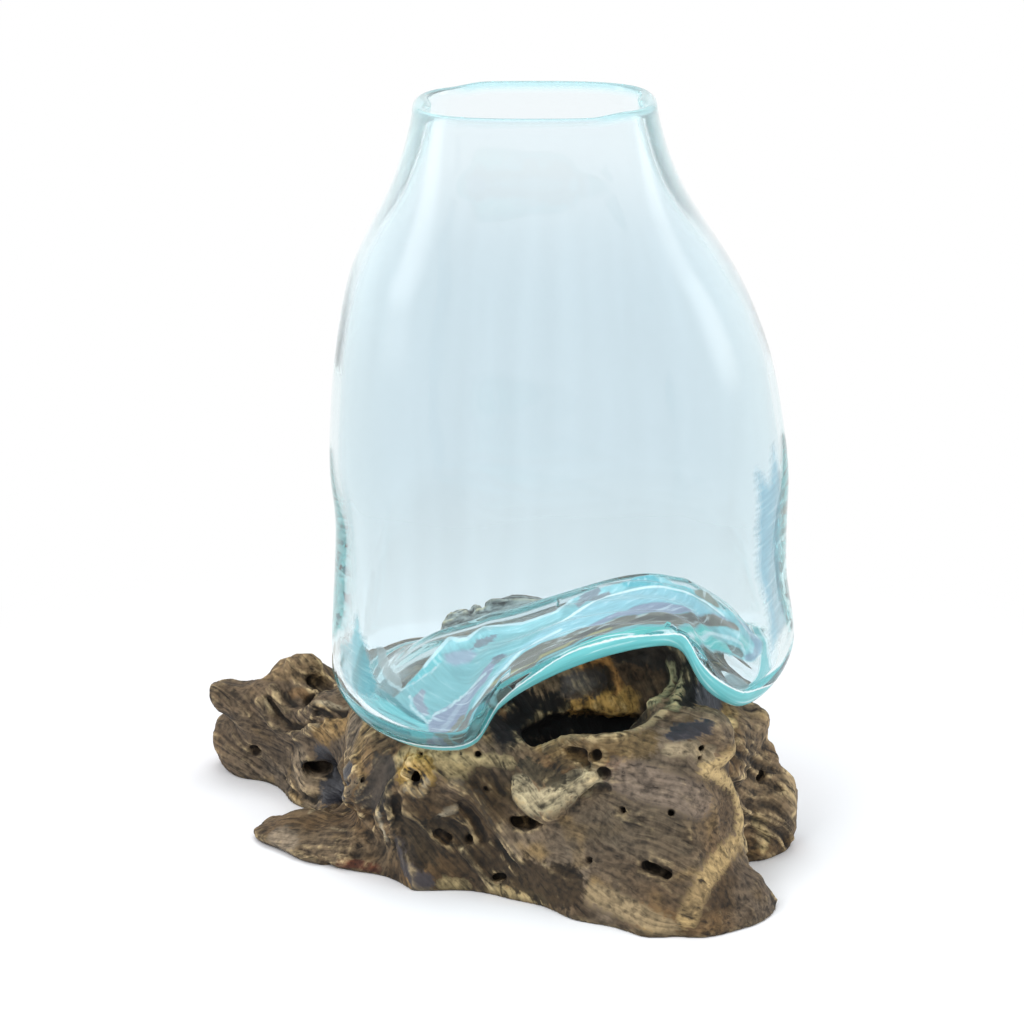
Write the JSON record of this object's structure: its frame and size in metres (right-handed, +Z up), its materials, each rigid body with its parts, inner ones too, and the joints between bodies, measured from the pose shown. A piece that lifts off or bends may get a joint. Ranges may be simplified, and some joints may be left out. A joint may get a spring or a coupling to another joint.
{
  "type": "glass vase on root",
  "caption": "Clear pale-aqua blown glass vase with a rounded-square mouth, its wavy base moulded over a gnarled wooden root that it rests on.",
  "frame": {"origin": "on the flat sawn underside of the root, below the vase", "axes": "+Z up through the mouth of the vase, -Y towards the front, +X to the right"},
  "size_m": [0.2604, 0.2105, 0.3226],
  "materials": {
    "glass": "clear pale aqua, smooth, slightly wavy",
    "root_wood": "weathered grey-brown with ochre and charred patches, matt"
  },
  "bodies": {
    "root": {"root_base": "root_wood"},
    "vase": {"glass_vase": "glass"}
  },
  "joints": [
    {"name": "vase_lift", "type": "slide", "parent": "root", "child": "vase", "axis": [0, 0, 1], "range_m": [0, 0.12]}
  ]
}
